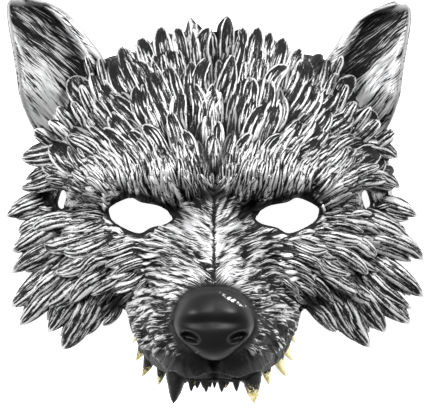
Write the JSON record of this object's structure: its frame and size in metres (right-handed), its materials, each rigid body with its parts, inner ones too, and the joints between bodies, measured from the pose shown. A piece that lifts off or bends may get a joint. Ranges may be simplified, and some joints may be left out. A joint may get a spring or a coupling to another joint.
{
  "type": "wolf half mask",
  "caption": "Hollow half mask of a wolf's face with cupped ears, fur in locks, a nose pad, upper teeth, eye holes and strap slots; it lies on its cheeks, face up.",
  "frame": {"origin": "middle of the mask's box, on the table that its cheeks rest on", "axes": "+Z out of the face, +Y from the muzzle to the ears, +X to the right as seen from in front"},
  "size_m": [0.249, 0.2332, 0.1107],
  "materials": {
    "moulded_fur": "satin moulded skin, black with silver brushed over its ridges",
    "ear_skin": "satin moulded skin, black with silver brushed over its ridges",
    "nose": "gloss black",
    "teeth": "satin ivory paint, worn to black"
  },
  "bodies": {
    "root": {"face_shell": "moulded_fur", "ear_left": "ear_skin", "ear_right": "ear_skin", "nose_pad": "nose", "tooth_back_left": "teeth", "tooth_back_right": "teeth", "tooth_middle_left": "teeth", "tooth_middle_right": "teeth", "tooth_front_left": "teeth", "tooth_front_right": "teeth", "tooth_side_left": "teeth", "tooth_side_right": "teeth", "fang_left": "teeth", "fang_right": "teeth", "incisor_outer_left": "teeth", "incisor_outer_right": "teeth", "incisor_inner_left": "teeth", "incisor_inner_right": "teeth"}
  },
  "joints": []
}
